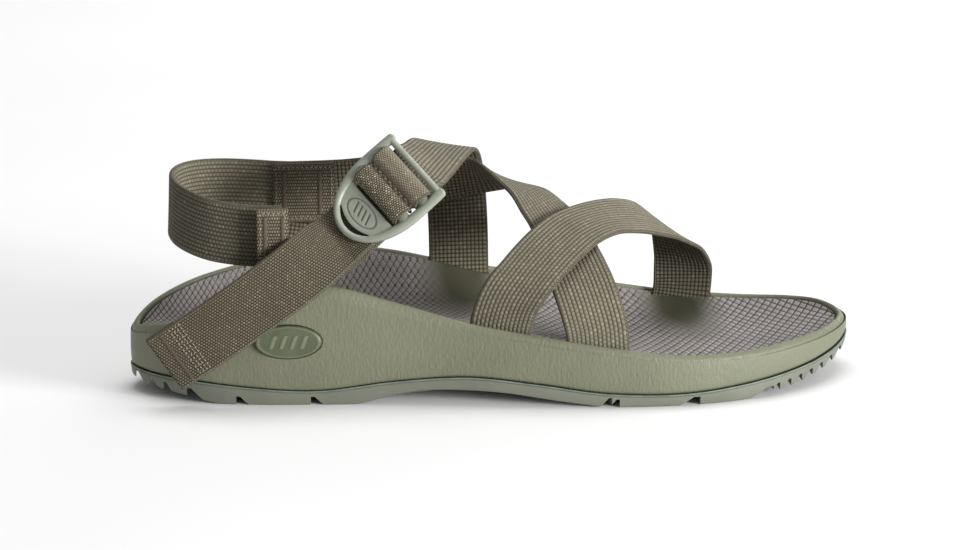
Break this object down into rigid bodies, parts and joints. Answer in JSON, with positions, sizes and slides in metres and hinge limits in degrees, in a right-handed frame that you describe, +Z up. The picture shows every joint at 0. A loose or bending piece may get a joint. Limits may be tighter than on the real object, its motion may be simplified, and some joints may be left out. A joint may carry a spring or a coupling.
{
  "type": "strappy sport sandal",
  "caption": "Right-foot sport sandal: lugged rubber outsole, raised foam midsole, textured footbed, webbing straps through the sole and a ladder-lock buckle.",
  "frame": {"origin": "middle of the footprint at ground level", "axes": "+X towards the toe, +Y towards the inner side of the foot, +Z up"},
  "size_m": [0.2906, 0.107, 0.1039],
  "materials": {
    "outsole_rubber": "matte moulded rubber",
    "midsole_foam": "finely pebbled polyurethane foam skin",
    "footbed_foam": "diamond-textured polyurethane, slightly glossy",
    "shank_nylon": "matte",
    "badge": "satin moulded plastic",
    "webbing": "woven polyester webbing",
    "thread": "bar tack stitching",
    "buckle_nylon": "satin moulded nylon"
  },
  "bodies": {
    "sandal": {"outsole": "outsole_rubber", "midsole": "midsole_foam", "footbed": "footbed_foam", "arch_shank": "shank_nylon", "side_badge": "badge", "strap_forefoot": "webbing", "strap_diagonal": "webbing", "strap_instep": "webbing", "instep_loop_end": "webbing", "riser_outer": "webbing", "riser_inner": "webbing", "heel_patch_outer": "webbing", "heel_patch_inner": "webbing", "bar_tack_outer_rear": "thread", "bar_tack_outer_front": "thread", "bar_tack_inner_rear": "thread", "bar_tack_inner_front": "thread"},
    "heel_loop": {"heel_strap": "webbing"},
    "buckle": {"buckle_frame": "buckle_nylon", "wrap_fixed": "webbing", "wrap_sliding": "webbing", "tail_under_tab": "webbing"},
    "tail": {"strap_tail": "webbing", "tail_hem": "webbing"}
  },
  "joints": [
    {"name": "heel_strap_swing", "type": "hinge", "parent": "sandal", "child": "heel_loop", "pos_m": [-0.0857, 0, 0.0683], "axis": [0, 1, 0], "range_deg": [-18, 22], "stiffness_Nm_per_rad": 0.2},
    {"name": "buckle_tilt", "type": "hinge", "parent": "sandal", "child": "buckle", "pos_m": [-0.03266, -0.02431, 0.09159], "axis": [-0.5663, 0.5913, 0.5743], "range_deg": [0, 35]},
    {"name": "tail_lift", "type": "hinge", "parent": "buckle", "child": "tail", "pos_m": [-0.0622, -0.0257, 0.0646], "axis": [-0.5663, 0.5913, 0.5743], "range_deg": [0, 60]}
  ]
}
